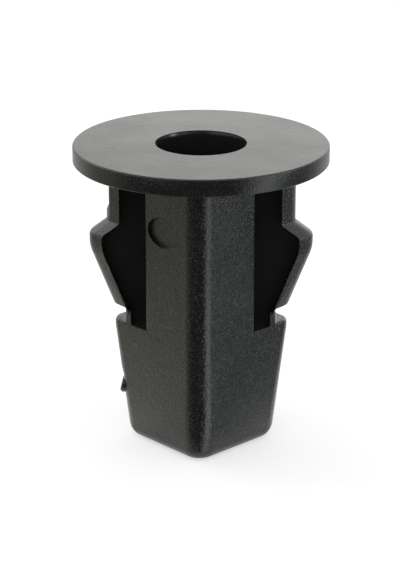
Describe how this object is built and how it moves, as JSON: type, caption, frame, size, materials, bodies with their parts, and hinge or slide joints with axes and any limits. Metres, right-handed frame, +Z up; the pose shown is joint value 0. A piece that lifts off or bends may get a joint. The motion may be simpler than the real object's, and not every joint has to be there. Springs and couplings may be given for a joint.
{
  "type": "bumper clip",
  "caption": "Moulded plastic screw grommet with a round head, a square shank with chevron snap arms on opposite corners and a tapered nose, for fixing bumpers and liners to a panel.",
  "frame": {"origin": "centre of the nose's flat end, on the shank axis", "axes": "+Z up the shank axis to the round head, X through the two snap arms, -Y towards the shank corner that faces the viewer"},
  "size_m": [0.019, 0.019, 0.0233],
  "materials": {
    "clip_plastic": "black satin moulding plastic, fine spark-eroded grain on the shank and a smoother head"
  },
  "bodies": {
    "root": {"clip_body": "clip_plastic"}
  },
  "joints": []
}
